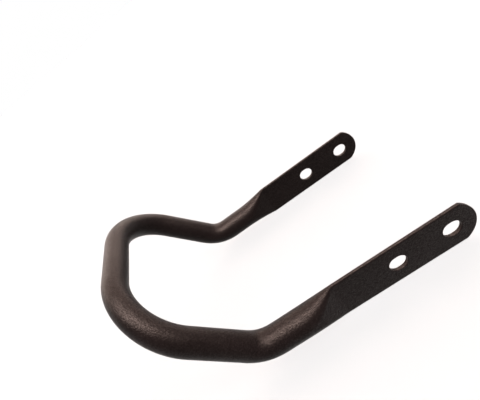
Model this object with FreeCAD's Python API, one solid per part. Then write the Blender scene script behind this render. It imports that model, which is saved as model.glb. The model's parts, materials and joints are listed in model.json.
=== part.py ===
import FreeCAD, Part
import math
import os

# Bed assist rail: one steel tube bent into a hand loop with two legs. The leg ends are
# pressed flat and slotted so that they can be bolted to the side of a bed frame.
# Millimetres. +X runs along the legs to the slotted tips, +Y across the rail and +Z up.
# The origin is the middle of the base: the legs' lower edges lie on Z = 0 and the loop
# rises towards -X.

# bare steel tube and its coating
TUBE_DIAMETER = 22.0
TUBE_WALL = 1.2
COAT_THICKNESS = 0.3

# bent path of the tube's centreline; lengths run between the corners of the straight lines
BAR_CORNER_SPAN = 158.0
LOOP_CORNER_RADIUS = 52.0
SIDE_LENGTH = 114.0
SIDE_TAPER_DEG = 1.7
KINK_ANGLE_DEG = 53.5
KINK_RADIUS = 32.0
LEG_LENGTH = 175.5

# pressed ends, measured back from the tip along the leg; the tip's arc is centred a little
# above the plate's middle line
FLAT_LENGTH = 108.0
PRESS_TRANSITION = 32.0
TIP_RADIUS = 18.6
TIP_RISE = 1.2
SLOT_LENGTH = 13.8
SLOT_WIDTH = 12.0
SLOT_FROM_TIP = 17.7
SLOT_SPACING = 42.0

# stations of the press mark's sections, as fractions of the transition
PRESS_STATIONS = (0.0, 0.15, 0.32, 0.5, 0.68, 0.85, 1.0)
# angle from the crown at which the round section is split to match the flat one's corners
CROWN_SPLIT_DEG = 12.0
# the hollow ends where less than this height is left between the walls
LEAST_HOLLOW = 0.8
# length by which a cutting tool runs past what it cuts
TOOL_OVERRUN = 5.0

# a flattened tube keeps the length of its wall's middle line
MIDDLE_LINE = math.pi * (TUBE_DIAMETER - TUBE_WALL)
FLAT_THICKNESS = 2.0 * TUBE_WALL
FLAT_WIDTH = (MIDDLE_LINE - math.pi * TUBE_WALL) / 2.0 + FLAT_THICKNESS

# heights, lengths and offsets of the path's corners
LEG_HEIGHT = FLAT_WIDTH / 2.0 + COAT_THICKNESS
TAPER = math.radians(SIDE_TAPER_DEG)
KINK = math.radians(KINK_ANGLE_DEG)
SIDE_RUN = SIDE_LENGTH * math.cos(TAPER)
LEG_OFFSET = BAR_CORNER_SPAN / 2.0 - SIDE_LENGTH * math.sin(TAPER)

# the kinks and tips along X, with the whole rail centred on X = 0
BAR_SETBACK = SIDE_RUN * math.cos(KINK)
KINK_X = (BAR_SETBACK + TUBE_DIAMETER / 2.0 - LEG_LENGTH) / 2.0
TIP_X = KINK_X + LEG_LENGTH
FLAT_START_X = TIP_X - FLAT_LENGTH
PRESS_START_X = FLAT_START_X - PRESS_TRANSITION


def corner_points():
    """Return the corners of the centreline from the -Y tip round the loop to the +Y tip."""
    bar_x = KINK_X - BAR_SETBACK
    bar_z = LEG_HEIGHT + SIDE_RUN * math.sin(KINK)
    half = [
        FreeCAD.Vector(TIP_X, LEG_OFFSET, LEG_HEIGHT),
        FreeCAD.Vector(KINK_X, LEG_OFFSET, LEG_HEIGHT),
        FreeCAD.Vector(bar_x, BAR_CORNER_SPAN / 2.0, bar_z),
    ]
    mirrored = [FreeCAD.Vector(point.x, -point.y, point.z) for point in half]
    return mirrored + half[::-1]


def disc(centre, direction, radius):
    """Return a round face square to the path."""
    return Part.Face(Part.Wire(Part.makeCircle(radius, centre, direction)))


def bent_rod(radius):
    """Return a round rod along the path between the two pressed ends."""
    corners = corner_points()
    bend_radii = (KINK_RADIUS, LOOP_CORNER_RADIUS, LOOP_CORNER_RADIUS, KINK_RADIUS)
    here = FreeCAD.Vector(PRESS_START_X, corners[0].y, corners[0].z)
    pieces = []
    for corner, following, bend_radius in zip(corners[1:-1], corners[2:], bend_radii):
        into = (corner - here).normalize()
        away = (following - corner).normalize()
        turn = into.getAngle(away)
        setback = bend_radius * math.tan(turn / 2.0)
        bend_start = corner - into * setback
        pieces.append(disc(here, into, radius).extrude(bend_start - here))
        axis = into.cross(away).normalize()
        bend_centre = bend_start + axis.cross(into) * bend_radius
        bend = disc(bend_start, into, radius)
        pieces.append(bend.revolve(bend_centre, axis, math.degrees(turn)))
        here = corner + away * setback
    last = FreeCAD.Vector(PRESS_START_X, corners[-1].y, corners[-1].z)
    direction = (last - here).normalize()
    pieces.append(disc(here, direction, radius).extrude(last - here))
    return pieces


def section_sizes(fraction, inset):
    """Return the height across the plate and its width at a fraction of the press mark."""
    eased = fraction * fraction * (3.0 - 2.0 * fraction)
    thickness = TUBE_DIAMETER + (FLAT_THICKNESS - TUBE_DIAMETER) * eased
    width = TUBE_DIAMETER + (FLAT_WIDTH - TUBE_DIAMETER) * eased
    return thickness - 2.0 * inset, width - 2.0 * inset


def section_wire(x, y, z, thickness, width):
    """Return a closed section square to X with thickness along Y and width along Z."""
    radius = thickness / 2.0
    straight = (width - thickness) / 2.0
    split = math.radians(CROWN_SPLIT_DEG) if straight < 1e-6 else 0.0

    def spot(side, end):
        crown = radius * math.cos(split)
        edge = straight + radius * math.sin(split)
        return FreeCAD.Vector(x, y + side * crown, z + end * edge)

    def crown_edge(side, start_end):
        start = spot(side, start_end)
        finish = spot(side, -start_end)
        if split == 0.0:
            return Part.makeLine(start, finish)
        middle = FreeCAD.Vector(x, y + side * radius, z)
        return Part.Arc(start, middle, finish).toShape()

    def fold_edge(end, start_side):
        middle = FreeCAD.Vector(x, y, z + end * (straight + radius))
        return Part.Arc(spot(start_side, end), middle, spot(-start_side, end)).toShape()

    edges = [crown_edge(1, -1), fold_edge(1, 1), crown_edge(-1, 1), fold_edge(-1, -1)]
    return Part.Wire(edges)


def press_mark(y, inset, last_fraction):
    """Return the solid that eases from the round tube to the flat plate."""
    fractions = [station for station in PRESS_STATIONS if station < last_fraction]
    fractions.append(last_fraction)
    wires = []
    for fraction in fractions:
        thickness, width = section_sizes(fraction, inset)
        x = PRESS_START_X + fraction * PRESS_TRANSITION
        wires.append(section_wire(x, y, LEG_HEIGHT, thickness, width))
    return Part.makeLoft(wires, True, False)


def plate(y, skin):
    """Return a pressed end with its slots and rounded tip, grown outwards by skin."""
    thickness, width = section_sizes(1.0, -skin)
    strip = Part.Face(section_wire(FLAT_START_X, y, LEG_HEIGHT, thickness, width))
    blank = strip.extrude(FreeCAD.Vector(FLAT_LENGTH + TOOL_OVERRUN, 0.0, 0.0))

    depth = thickness + 2.0 * TOOL_OVERRUN
    low_y = y - depth / 2.0
    across = FreeCAD.Vector(0.0, 1.0, 0.0)
    round_x = TIP_X - TIP_RADIUS
    round_centre = FreeCAD.Vector(round_x, low_y, LEG_HEIGHT + TIP_RISE)
    tip = Part.makeCylinder(TIP_RADIUS + skin, depth, round_centre, across)
    body_corner = FreeCAD.Vector(FLAT_START_X, low_y, LEG_HEIGHT - width)
    body = Part.makeBox(round_x - FLAT_START_X, depth, 2.0 * width, body_corner)
    blank = blank.common(body.fuse(tip))

    for from_tip in (SLOT_FROM_TIP, SLOT_FROM_TIP + SLOT_SPACING):
        blank = blank.cut(slot_cutter(TIP_X - from_tip, low_y, depth, skin))
    return blank


def slot_cutter(x, low_y, depth, skin):
    """Return a slot's tool, made smaller by skin on every side."""
    radius = SLOT_WIDTH / 2.0 + COAT_THICKNESS - skin
    reach = (SLOT_LENGTH - SLOT_WIDTH) / 2.0
    across = FreeCAD.Vector(0.0, 1.0, 0.0)
    corner = FreeCAD.Vector(x - reach, low_y, LEG_HEIGHT - radius)
    cutter = Part.makeBox(2.0 * reach, depth, 2.0 * radius, corner)
    for end_x in (x - reach, x + reach):
        centre = FreeCAD.Vector(end_x, low_y, LEG_HEIGHT)
        cutter = cutter.fuse(Part.makeCylinder(radius, depth, centre, across))
    return cutter.removeSplitter()


def closing_fraction():
    """Return how far along the press mark the hollow still has its least height."""
    low = 0.0
    high = 1.0
    while high - low > 1e-4:
        middle = (low + high) / 2.0
        if section_sizes(middle, TUBE_WALL)[0] > LEAST_HOLLOW:
            low = middle
        else:
            high = middle
    return low


def outer_pieces(skin):
    """Return the filled outer form as a list of end-to-end pieces, grown outwards by skin."""
    pieces = bent_rod(TUBE_DIAMETER / 2.0 + skin)
    for y in (-LEG_OFFSET, LEG_OFFSET):
        pieces.append(press_mark(y, -skin, 1.0))
        pieces.append(plate(y, skin))
    return pieces


def hollow():
    """Return the closed air space inside the tube."""
    pieces = bent_rod(TUBE_DIAMETER / 2.0 - TUBE_WALL)
    for y in (-LEG_OFFSET, LEG_OFFSET):
        pieces.append(press_mark(y, TUBE_WALL, closing_fraction()))
    return joined(pieces)


def joined(pieces):
    """Return one clean solid made of the pieces."""
    return pieces[0].multiFuse(pieces[1:]).removeSplitter()


bare_pieces = outer_pieces(0.0)
coat_pieces = [grown.cut(bare) for grown, bare in zip(outer_pieces(COAT_THICKNESS), bare_pieces)]
NODES = {
    "bent_tube": joined(bare_pieces).cut(hollow()),
    "powder_coat": joined(coat_pieces),
}

os.makedirs("parts", exist_ok=True)
for name, shape in NODES.items():
    shape.exportStep("parts/" + name + ".step")
    print(name, shape.isValid(), len(shape.Solids), round(shape.Volume, 1), shape.BoundBox)
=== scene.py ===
"""Looks of the bed assist rail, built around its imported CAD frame. Metres, row frame."""
import json
import math

import bmesh
import bpy
from mathutils import Matrix, Vector


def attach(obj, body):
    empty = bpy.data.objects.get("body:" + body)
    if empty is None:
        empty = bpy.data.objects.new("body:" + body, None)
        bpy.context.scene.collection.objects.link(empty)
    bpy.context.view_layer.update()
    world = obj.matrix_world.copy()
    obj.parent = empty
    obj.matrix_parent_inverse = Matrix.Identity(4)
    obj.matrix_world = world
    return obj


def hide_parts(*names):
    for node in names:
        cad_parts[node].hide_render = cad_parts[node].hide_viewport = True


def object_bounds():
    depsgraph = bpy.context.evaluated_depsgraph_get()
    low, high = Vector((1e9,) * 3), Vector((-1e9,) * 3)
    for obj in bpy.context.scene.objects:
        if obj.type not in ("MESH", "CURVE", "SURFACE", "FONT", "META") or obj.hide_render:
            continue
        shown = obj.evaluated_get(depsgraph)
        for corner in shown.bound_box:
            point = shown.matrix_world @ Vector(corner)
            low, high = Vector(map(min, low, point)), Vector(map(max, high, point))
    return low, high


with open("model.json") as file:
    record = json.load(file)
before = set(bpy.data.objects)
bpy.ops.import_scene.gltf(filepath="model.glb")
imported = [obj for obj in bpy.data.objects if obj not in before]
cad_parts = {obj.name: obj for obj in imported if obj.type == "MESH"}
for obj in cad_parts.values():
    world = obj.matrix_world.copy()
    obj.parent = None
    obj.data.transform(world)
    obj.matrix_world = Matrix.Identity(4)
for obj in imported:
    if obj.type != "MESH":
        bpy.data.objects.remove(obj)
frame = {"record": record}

MM = 0.001
CAD_LOW, CAD_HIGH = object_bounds()
MOUNTS = {m["name"]: m for m in frame["record"]["mounts"]}

# ---------------------------------------------------------------- sizes, in metres
RADIUS = 11.3 * MM                       # finished round tube
THICK = 3.0 * MM                         # finished pressed end
HALF_TURN = math.pi * RADIUS             # half of the section's outline, the same all along
FOLD_R = THICK / 2
FLAT_HALF = (HALF_TURN - math.pi * FOLD_R) / 2   # half height of the plate's flat face

LOOP_R = 52 * MM
KINK_INNER_R = 11 * MM                   # a kink is tight inside and wide outside
KINK_OUTER_R = 47 * MM
SIDE_LENGTH = 114 * MM
TAPER = math.radians(1.7)
KINK = math.radians(53.5)

TIP_X = CAD_HIGH.x
TIP_R = 18.9 * MM
TIP_RISE = 1.2 * MM                      # the tip's arc sits above the plate's middle
TIP_CENTRE_X = TIP_X - TIP_R
FLAT_X = TIP_X - 108.3 * MM              # where the flat plate begins
PRESS_X = FLAT_X - 32 * MM               # where the round tube begins to flatten
LEG_Y = MOUNTS["slots_left"]["pos_m"][1] - FOLD_R
LEG_Z = MOUNTS["slots_left"]["pos_m"][2]

SLOTS = MOUNTS["slots_left"]["dims"]
SLOT_R = SLOTS["hole_r_mm"] * MM
SLOT_REACH = SLOTS["slot_length_mm"] * MM / 2 - SLOT_R
SLOT_MID_X = MOUNTS["slots_left"]["pos_m"][0]
SLOT_XS = [SLOT_MID_X + s * SLOTS["spacing_x_mm"] * MM / 2 for s in (-1, 1)]

BAR_X = CAD_LOW.x + RADIUS
BAR_Z = CAD_HIGH.z - RADIUS
BAR_HALF = LEG_Y + SIDE_LENGTH * math.sin(TAPER)
KINK_X = BAR_X + SIDE_LENGTH * math.cos(TAPER) * math.cos(KINK)
LOOP_CORNER = Vector((BAR_X, BAR_HALF, BAR_Z))
KINK_CORNER = Vector((KINK_X, LEG_Y, LEG_Z))
KINK_MARGIN = 0.5 * MM
KINK_SPAN = (KINK_OUTER_R - RADIUS) * math.tan(KINK / 2) + KINK_MARGIN

EDGE_R = 0.5 * MM                        # rounding of the cut edges under the coat
SEAM_DEPTH = 0.14 * MM                   # hairline where the pressed walls meet
EDGE_SHARE = 0.55                        # most of a row's half thickness to round off
WORN_REACH = 0.8 * MM                    # how far the rubbed coat spreads from a cut edge

LOOP_OVAL = 0.009                        # share by which the bent loop is narrower across
KINK_SWELL = 0.03                        # share by which a kink is wider across
PRESS_END_SLOPE = 1.6                    # the die's edge gives the press mark a quick end

# ---------------------------------------------------------------- how finely it is meshed
BAR_STEPS = 18
LOOP_STEPS = 60
SIDE_STEPS = 30
KINK_STEPS = 34
LEG_STEPS = 6
PRESS_STEPS = 44
FOLD_STEPS = 6
FLAT_STEPS = 28
EDGE_STEPS = 3
CELL_STEPS = 18
CELL_HALF = 13.5 * MM                    # half length of the plate's cell round a slot
LAST_COLUMN = 0.988                      # share of the tip's cell where an extra column stands
RING_SHARES = (0, 0.03, 0.2, 0.42, 0.68, 0.97, 1)    # rings from a slot to its cell's border


# ---------------------------------------------------------------- the tube's centreline
def arc_points(a, corner, b, radius, steps):
    """Points and tangents of a round bend in the corner of a polyline."""
    into = (corner - a).normalized()
    away = (b - corner).normalized()
    turn = into.angle(away)
    start = corner - into * radius * math.tan(turn / 2)
    axis = into.cross(away).normalized()
    centre = start + axis.cross(into) * radius
    out = []
    for i in range(steps + 1):
        spin = Matrix.Rotation(turn * i / steps, 3, axis)
        out.append((centre + spin @ (start - centre), spin @ into))
    return out


def centreline():
    """Stations (point, tangent) from the middle of the bar to where the kink begins."""
    a = Vector((BAR_X, 0, BAR_Z))
    loop = arc_points(a, LOOP_CORNER, KINK_CORNER, LOOP_R, LOOP_STEPS)
    last = KINK_CORNER - (KINK_CORNER - LOOP_CORNER).normalized() * KINK_SPAN

    def run(p, q, tangent, steps):
        return [(p.lerp(q, i / steps), tangent) for i in range(steps)]

    stations = run(a, loop[0][0], loop[0][1], BAR_STEPS)
    stations += loop[:-1]
    stations += run(loop[-1][0], last, loop[-1][1], SIDE_STEPS)
    stations.append((last, loop[-1][1]))
    return stations


def kink_point(share, across, height, into, side_up):
    """A point of the section, carried round the kink. Each line of the tube's wall has its
    own bend radius, from the tight inside to the wide outside."""
    leg_up = Vector((0, 0, 1))
    away = Vector((1, 0, 0))
    inward = (side_up + leg_up).normalized()
    half = into.angle(away) / 2
    outness = -height / RADIUS
    bend = (KINK_OUTER_R + KINK_INNER_R) / 2 + outness * (KINK_OUTER_R - KINK_INNER_R) / 2
    corner = KINK_CORNER + inward * (height / math.cos(half))
    start = KINK_CORNER - into * KINK_SPAN + side_up * height
    setback = bend * math.tan(half)
    straight = (corner - start).length - setback
    total = 2 * straight + bend * 2 * half
    s = share * total
    if s <= straight:
        base = start + into * s
    elif s >= total - straight:
        base = KINK_CORNER + away * KINK_SPAN + leg_up * height - away * (total - s)
    else:
        centre = corner + inward * (bend / math.cos(half))
        tangent_point = corner - into * setback
        axis = into.cross(away).normalized()
        turn = Matrix.Rotation((s - straight) / bend, 3, axis)
        base = centre + turn @ (tangent_point - centre)
    swell = 1 + KINK_SWELL * math.sin(math.pi * share) ** 2
    return base + across * swell


# ---------------------------------------------------------------- the tube's section
def half_section(radius, parts):
    """The outline's +Y half from its lowest to its highest point, as (across, up) pairs.
    radius is half the section's thickness; parts are lengths along the half outline."""
    straight = (HALF_TURN - math.pi * radius) / 2
    quarter = math.pi * radius / 2
    out = []
    for s in parts:
        if s <= quarter:
            a = s / radius
            out.append((radius * math.sin(a), -straight - radius * math.cos(a)))
        elif s < quarter + 2 * straight:
            out.append((radius, s - quarter - straight))
        else:
            a = (s - quarter - 2 * straight) / radius
            out.append((radius * math.cos(a), straight + radius * math.sin(a)))
    return out


FOLD_LENGTH = math.pi * FOLD_R / 2
PARTS = [FOLD_LENGTH * i / FOLD_STEPS for i in range(FOLD_STEPS)]
PARTS += [FOLD_LENGTH + 2 * FLAT_HALF * i / FLAT_STEPS for i in range(FLAT_STEPS)]
PARTS += [HALF_TURN - FOLD_LENGTH * (1 - i / FOLD_STEPS) for i in range(FOLD_STEPS + 1)]
PLATE = half_section(FOLD_R, PARTS)      # (half thickness, height) of the plate's rows
ROWS = len(PLATE)


def press_ease(t):
    """0 on the round tube and 1 on the flat plate, level at the start only."""
    return (3 - PRESS_END_SLOPE) * t * t + (PRESS_END_SLOPE - 2) * t ** 3


def build_half(bm):
    """Everything on the +Y side of the rail's middle plane."""
    stations = centreline()
    into = stations[-1][1]
    normal = Vector((0, 1, 0))
    normal = (normal - into * normal.dot(into)).normalized()
    normals = [normal]
    for _, t in reversed(stations[:-1]):
        normal = (normal - t * normal.dot(t)).normalized()
        normals.append(normal)
    normals.reverse()

    full = half_section(RADIUS, PARTS)
    section = full + [(-y, z) for y, z in full[-2:0:-1]]
    rings = []
    for i, ((point, tangent), across) in enumerate(zip(stations, normals)):
        up = tangent.cross(across)
        oval = 1 - LOOP_OVAL * (1 - (i / (len(stations) - 1)) ** 3)
        rings.append([point + across * y * oval + up * z for y, z in section])

    across = normals[-1]
    side_up = into.cross(across)
    for i in range(1, KINK_STEPS + 1):
        share = i / KINK_STEPS
        turned = across.lerp(Vector((0, 1, 0)), share).normalized()
        ring = [kink_point(share, turned * y, z, into, side_up) for y, z in section]
        rings.append(ring)
    kink_end = KINK_X + KINK_SPAN
    for i in range(1, LEG_STEPS + 1):
        x = kink_end + (PRESS_X - kink_end) * i / LEG_STEPS
        rings.append([Vector((x, LEG_Y + y, LEG_Z + z)) for y, z in section])

    for i in range(1, PRESS_STEPS + 1):
        t = i / PRESS_STEPS
        x = PRESS_X + (FLAT_X - PRESS_X) * t
        radius = RADIUS + (FOLD_R - RADIUS) * press_ease(t)
        half = half_section(radius, PARTS)
        ring = [Vector((x, LEG_Y + y, LEG_Z + z)) for y, z in half]
        ring += [Vector((x, LEG_Y - y, LEG_Z + z)) for y, z in half[-2:0:-1]]
        rings.append(ring)

    loops = [[bm.verts.new(p) for p in ring] for ring in rings]
    for one, two in zip(loops, loops[1:]):
        count = len(one)
        for i in range(count):
            j = (i + 1) % count
            bm.faces.new((one[i], one[j], two[j], two[i]))
    build_plate(bm)


# ---------------------------------------------------------------- the pressed, slotted end
def tip_x(height):
    """Where the tip's arc ends a row at that height above the leg's middle."""
    return TIP_CENTRE_X + math.sqrt(max(TIP_R ** 2 - (height - TIP_RISE) ** 2, 0))


def edge_of(half_thick):
    """Rounding of the cut edge on a row; it dies out with the fold."""
    return min(EDGE_R, EDGE_SHARE * half_thick)


def add_quads(bm, grid):
    """Four-sided faces between the neighbouring lines of points in grid."""
    lines = [[bm.verts.new(p) for p in line] for line in grid]
    for one, two in zip(lines, lines[1:]):
        for i in range(len(one) - 1):
            bm.faces.new((one[i], one[i + 1], two[i + 1], two[i]))


def slot_outline(x, direction, grow):
    """Point on a slot's outline, grown by grow, seen from its middle in a direction."""
    dx, dz = direction
    length = math.hypot(dx, dz)
    dx, dz = dx / length, dz / length
    radius = SLOT_R + grow
    if abs(dz) > 1e-9 and abs(dx / dz) * radius <= SLOT_REACH:
        scale = radius / abs(dz)
    else:
        side = SLOT_REACH * abs(dx)
        scale = side + math.sqrt(max(side * side - SLOT_REACH ** 2 + radius ** 2, 0))
    return x + dx * scale, dz * scale


def column_shares(last):
    """Shares of a cell's length at which its columns stand, with one held by the cut edge."""
    shares = [i / CELL_STEPS for i in range(CELL_STEPS + 1)]
    if last:
        shares.insert(CELL_STEPS, LAST_COLUMN)
    return shares


def build_plate(bm):
    """Flat faces, folds, slots and tip of one leg."""
    starts = [FLAT_X, SLOT_XS[0] - CELL_HALF, SLOT_XS[0] + CELL_HALF, SLOT_XS[1] - CELL_HALF]
    flats = range(FOLD_STEPS, FOLD_STEPS + FLAT_STEPS + 1)

    def row_end(j):
        half_thick, height = PLATE[j]
        return tip_x(height) - edge_of(half_thick)

    def cell_point(cell, share, j, side):
        left = starts[cell]
        right = starts[cell + 1] if cell < 3 else row_end(j)
        y, z = PLATE[j]
        return Vector((left + (right - left) * share, LEG_Y + side * y, LEG_Z + z))

    for side in (1, -1):
        for cell in range(4):
            shares = column_shares(cell == 3)
            has_slot = cell in (1, 3)
            row_sets = [range(ROWS)]
            if has_slot:
                row_sets = [range(flats[0] + 1), range(flats[-1], ROWS)]
            for rows in row_sets:
                add_quads(bm, [[cell_point(cell, s, j, side) for s in shares] for j in rows])
            if has_slot:
                build_slot_face(bm, cell, shares, flats, side, cell_point)
    build_slot_walls(bm, flats, cell_point)
    build_tip(bm)


def cell_border(cell, shares, flats, cell_point, side):
    """Points round a slot's cell on the flat face, in order and closed."""
    low, high = flats[0], flats[-1]
    border = [cell_point(cell, s, low, side) for s in shares]
    border += [cell_point(cell, 1.0, j, side) for j in flats[1:]]
    border += [cell_point(cell, s, high, side) for s in reversed(shares[:-1])]
    border += [cell_point(cell, 0.0, j, side) for j in reversed(flats[:-1])]
    return border


def slot_rings(cell, shares, flats, cell_point, side, grow):
    """The slot's outline, grown by grow, point for point with its cell's border."""
    x = SLOT_XS[0] if cell == 1 else SLOT_XS[1]
    ring = []
    for p in cell_border(cell, shares, flats, cell_point, side):
        ring.append(slot_outline(x, (p.x - x, p.z - LEG_Z), grow))
    return ring


def build_slot_face(bm, cell, shares, flats, side, cell_point):
    """The flat face between a slot and the border of its cell."""
    border = cell_border(cell, shares, flats, cell_point, side)
    inner = slot_rings(cell, shares, flats, cell_point, side, EDGE_R)
    y = LEG_Y + side * FOLD_R
    grid = []
    for t in RING_SHARES:
        line = []
        for outer, (x, z) in zip(border, inner):
            line.append(Vector((x, y, LEG_Z + z)).lerp(Vector((outer.x, y, outer.z)), t))
        grid.append(line)
    add_quads(bm, grid)


def across_profile(half_thick, edge):
    """A cut edge's profile from the +Y face to the -Y face, as (inset, across) pairs, with
    rounded corners and the hairline of the closed fold in its middle."""
    corner = [math.pi / 2 * i / EDGE_STEPS for i in range(EDGE_STEPS + 1)]
    upper = [(edge * (1 - math.sin(a)), half_thick - edge * (1 - math.cos(a))) for a in corner]
    size = half_thick / FOLD_R
    seam = SEAM_DEPTH * size
    middle = [(0, 0.30 * MM * size), (seam * 0.15, 0.12 * MM * size), (seam, 0)]
    lower = [(inset, -y) for inset, y in reversed(upper + middle[:-1])]
    return upper + middle + lower


def build_slot_walls(bm, flats, cell_point):
    """The slots' walls and their rounded rims."""
    for cell in (1, 3):
        shares = column_shares(cell == 3)
        grid = []
        for inset, across in across_profile(FOLD_R, EDGE_R):
            ring = slot_rings(cell, shares, flats, cell_point, 1, inset)
            grid.append([Vector((x, LEG_Y + across, LEG_Z + z)) for x, z in ring])
        add_quads(bm, grid)


def build_tip(bm):
    """The arc-cut edge that closes the plate."""
    grid = []
    for half_thick, height in PLATE:
        end = tip_x(height)
        profile = across_profile(half_thick, edge_of(half_thick))
        grid.append([Vector((end - inset, LEG_Y + y, LEG_Z + height)) for inset, y in profile])
    add_quads(bm, grid)


# ---------------------------------------------------------------- the piece
def worn_share(point):
    """1 on the cut edges of tips and slots, easing to 0 a little way off them."""
    if point.x < FLAT_X:
        return 0.0
    z = point.z - LEG_Z
    gaps = []
    if point.x > TIP_CENTRE_X:
        gaps.append(abs(math.hypot(point.x - TIP_CENTRE_X, z - TIP_RISE) - TIP_R))
    for x in SLOT_XS:
        along = max(abs(point.x - x) - SLOT_REACH, 0)
        gaps.append(abs(math.hypot(along, z) - SLOT_R))
    return max(0.0, 1 - min(gaps) / WORN_REACH)


def make_rail():
    """The whole rail: one half, its mirror image and the attribute that marks worn edges."""
    bm = bmesh.new()
    build_half(bm)
    mirrored = bmesh.ops.duplicate(bm, geom=bm.verts[:] + bm.faces[:])
    for v in mirrored["geom"]:
        if isinstance(v, bmesh.types.BMVert):
            v.co.y = -v.co.y
    bmesh.ops.remove_doubles(bm, verts=bm.verts[:], dist=2e-6)
    bmesh.ops.dissolve_degenerate(bm, edges=bm.edges[:], dist=1e-7)
    bmesh.ops.recalc_face_normals(bm, faces=bm.faces[:])
    for f in bm.faces:
        f.smooth = True
    mesh = bpy.data.meshes.new("coated_rail")
    bm.to_mesh(mesh)
    bm.free()
    worn = mesh.attributes.new("worn", "FLOAT", "POINT")
    for v in mesh.vertices:
        worn.data[v.index].value = worn_share(v.co)
    rail = bpy.data.objects.new("coated_rail", mesh)
    bpy.context.scene.collection.objects.link(rail)
    return rail


# ---------------------------------------------------------------- materials
class Nodes:
    """Short calls for building one material's node tree."""

    def __init__(self, name):
        self.material = bpy.data.materials.new(name)
        self.material.use_nodes = True
        self.tree = self.material.node_tree
        self.shader = self.tree.nodes["Principled BSDF"]
        self.place = self.tree.nodes.new("ShaderNodeTexCoord").outputs["Object"]

    def link(self, source, target):
        self.tree.links.new(source, target)

    def noise(self, scale, detail=2.0, rough=0.5):
        node = self.tree.nodes.new("ShaderNodeTexNoise")
        node.inputs["Scale"].default_value = scale
        node.inputs["Detail"].default_value = detail
        node.inputs["Roughness"].default_value = rough
        self.link(self.place, node.inputs["Vector"])
        return node.outputs["Fac"]

    def cells(self, scale):
        node = self.tree.nodes.new("ShaderNodeTexVoronoi")
        node.inputs["Scale"].default_value = scale
        self.link(self.place, node.inputs["Vector"])
        return node.outputs["Distance"]

    def remap(self, source, low, high, to_low=0.0, to_high=1.0):
        node = self.tree.nodes.new("ShaderNodeMapRange")
        for name, value in zip(("From Min", "From Max", "To Min", "To Max"),
                               (low, high, to_low, to_high)):
            node.inputs[name].default_value = value
        self.link(source, node.inputs["Value"])
        return node.outputs["Result"]

    def math(self, operation, a, b):
        node = self.tree.nodes.new("ShaderNodeMath")
        node.operation = operation
        for socket, value in zip(node.inputs, (a, b)):
            if isinstance(value, (int, float)):
                socket.default_value = value
            else:
                self.link(value, socket)
        return node.outputs[0]

    def mix(self, factor, a, b):
        node = self.tree.nodes.new("ShaderNodeMix")
        node.data_type = "RGBA"
        self.link(factor, node.inputs[0])
        for socket, value in ((node.inputs[6], a), (node.inputs[7], b)):
            if isinstance(value, tuple):
                socket.default_value = (*value, 1)
            else:
                self.link(value, socket)
        return node.outputs[2]

    def bump(self, height, strength, distance, below=None):
        node = self.tree.nodes.new("ShaderNodeBump")
        node.inputs["Strength"].default_value = strength
        node.inputs["Distance"].default_value = distance
        self.link(height, node.inputs["Height"])
        if below is not None:
            self.link(below, node.inputs["Normal"])
        return node.outputs["Normal"]

    def attribute(self, name):
        node = self.tree.nodes.new("ShaderNodeAttribute")
        node.attribute_name = name
        return node.outputs["Fac"]


def coat_material():
    """Satin black powder coat with a fine pebbled grain, faint clouding and rubbed edges."""
    n = Nodes("satin_black_coat")
    cloud = n.remap(n.noise(38, 3, 0.55), 0.3, 0.7)
    grain = n.noise(950, 3.5, 0.68)
    body = n.mix(cloud, (0.0014, 0.0008, 0.0008), (0.0023, 0.0014, 0.0014))
    speck = n.remap(grain, 0.60, 0.80)
    tinted = n.mix(speck, body, (0.008, 0.006, 0.0055))
    dust = n.remap(n.cells(150), 0.045, 0.02)
    rare = n.remap(n.noise(24, 1), 0.60, 0.68)
    dusted = n.mix(n.math("MULTIPLY", dust, rare), tinted, (0.024, 0.021, 0.019))
    rub = n.math("MULTIPLY", n.attribute("worn"), n.remap(n.noise(420, 3, 0.7), 0.42, 0.62))
    n.link(n.mix(n.math("MULTIPLY", rub, 0.25), dusted, (0.022, 0.017, 0.015)),
           n.shader.inputs["Base Color"])
    rough = n.math("ADD", n.remap(grain, 0.3, 0.7, 0.08, -0.08),
                   n.remap(n.noise(55, 2), 0.3, 0.7, 0.35, 0.41))
    n.link(rough, n.shader.inputs["Roughness"])
    # follows the grain; an export drops this link and takes the usual, glossier level
    n.link(n.remap(grain, 0.40, 0.60, 0.05, 0.13), n.shader.inputs["Specular IOR Level"])
    n.shader.inputs["Specular Tint"].default_value = (1.0, 0.80, 0.73, 1)
    n.shader.inputs["Sheen Weight"].default_value = 0.012
    n.shader.inputs["Sheen Roughness"].default_value = 0.3
    n.shader.inputs["Sheen Tint"].default_value = (1.0, 0.72, 0.60, 1)
    wave = n.bump(n.noise(120, 2, 0.5), 0.10, 0.4 * MM)
    n.link(n.bump(grain, 0.8, 0.42 * MM, wave), n.shader.inputs["Normal"])
    return n.material


def floor_material():
    """Mid-grey studio paper, barely clouded; only the strong lights make it show white."""
    n = Nodes("studio_paper")
    tone = n.remap(n.noise(9, 2), 0.3, 0.7)
    paper = n.mix(tone, (0.125, 0.132, 0.138), (0.128, 0.135, 0.141))
    n.link(paper, n.shader.inputs["Base Color"])
    n.shader.inputs["Roughness"].default_value = 0.9
    n.shader.inputs["Specular IOR Level"].default_value = 0.1
    return n.material


# ---------------------------------------------------------------- studio
FLOOR_GAP = 0.2 * MM                     # keeps the floor clear of the legs
KEY_LIGHTS = 6
KEY_SPREAD = 22                          # degrees of sky that one light covers
KEY_COLOUR = (1.0, 0.93, 0.89)
BACK_COLOUR = (1.0, 0.80, 0.70)
CAMERA_PLACE = (0.02639, -0.26374, 0.25630)
CAMERA_VIEW = (-0.16011, 0.89353, -0.41948)
CAMERA_UP = (0.59538, 0.42638, 0.68097)


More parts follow.
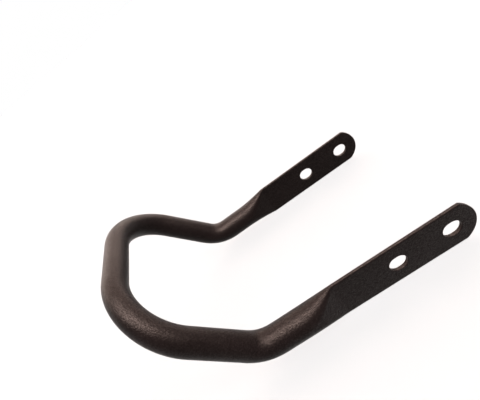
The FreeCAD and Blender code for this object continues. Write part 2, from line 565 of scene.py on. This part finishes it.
def make_floor():
    """A flat floor that reaches past every view's horizon."""
    reach, rings, turns = 60.0, 12, 64
    bm = bmesh.new()
    centre = bm.verts.new((0, 0, 0))
    loops = []
    for k in range(rings):
        r = reach * 0.5 ** (rings - 1 - k)
        angles = [2 * math.pi * i / turns for i in range(turns)]
        loops.append([bm.verts.new((r * math.cos(a), r * math.sin(a), 0)) for a in angles])
    for i in range(turns):
        j = (i + 1) % turns
        bm.faces.new((centre, loops[0][i], loops[0][j]))
        for one, two in zip(loops, loops[1:]):
            bm.faces.new((one[i], two[i], two[j], one[j]))
    mesh = bpy.data.meshes.new("studio_floor")
    bm.to_mesh(mesh)
    bm.free()
    floor = bpy.data.objects.new("studio_floor", mesh)
    floor.location.z = CAD_LOW.z - FLOOR_GAP
    floor.data.materials.append(floor_material())
    bpy.context.scene.collection.objects.link(floor)


def add_soft_light(name, towards, spread_deg, strength, colour):
    """An even, far softbox that casts no shadow; towards points from the object to it."""
    light = bpy.data.lights.new(name, "SUN")
    light.angle = math.radians(spread_deg)
    light.use_shadow = False
    light.color = colour
    light.energy = strength
    lamp = bpy.data.objects.new(name, light)
    lamp.rotation_euler = Vector(towards).to_track_quat("Z", "Y").to_euler()
    bpy.context.scene.collection.objects.link(lamp)


def set_world():
    """White low down, where a view may see past the floor, and dimmer overhead."""
    world = bpy.data.worlds.new("studio_air")
    world.use_nodes = True
    tree = world.node_tree
    place = tree.nodes.new("ShaderNodeTexCoord").outputs["Generated"]
    split = tree.nodes.new("ShaderNodeSeparateXYZ")
    tree.links.new(place, split.inputs[0])
    ramp = tree.nodes.new("ShaderNodeMapRange")
    for name, value in (("From Min", 0.22), ("From Max", 0.5), ("To Min", 1.0), ("To Max", 0.22)):
        ramp.inputs[name].default_value = value
    tree.links.new(split.outputs["Z"], ramp.inputs["Value"])
    tree.links.new(ramp.outputs["Result"], tree.nodes["Background"].inputs["Strength"])
    tree.nodes["Background"].inputs["Color"].default_value = (1, 1, 1, 1)
    bpy.context.scene.world = world


def add_camera():
    """The photograph's viewing angle; the shift is its off-centre framing."""
    view = Vector(CAMERA_VIEW).normalized()
    up = Vector(CAMERA_UP)
    right = view.cross(up).normalized()
    up = right.cross(view)
    data = bpy.data.cameras.new("photo_camera")
    data.sensor_width = 36
    data.lens = 27.7806
    data.shift_x = 0.1123
    data.shift_y = -0.0430
    data.clip_start = 0.01
    camera = bpy.data.objects.new("photo_camera", data)
    turn = Matrix((right, up, -view)).transposed().to_4x4()
    camera.matrix_world = Matrix.Translation(Vector(CAMERA_PLACE)) @ turn
    bpy.context.scene.collection.objects.link(camera)
    bpy.context.scene.camera = camera


rail = make_rail()
rail.data.materials.append(coat_material())
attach(rail, "root")
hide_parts("bent_tube", "powder_coat")

make_floor()
for k in range(KEY_LIGHTS):              # a strip across the sky, from the camera's right
    across_sky = (0.66 - 0.19 * k, -0.14 - 0.015 * k, 0.74 + 0.055 * k)
    add_soft_light("key_strip_%d" % k, across_sky, KEY_SPREAD, 2.5 + 0.5 * k, KEY_COLOUR)
add_soft_light("back_light", (0.34, 0.78, 0.48), 64, 4.6, BACK_COLOUR)
add_soft_light("back_left_light", (-0.55, 0.62, 0.56), 60, 3.8, BACK_COLOUR)
set_world()
add_camera()
bpy.context.scene.view_settings.view_transform = "Standard"
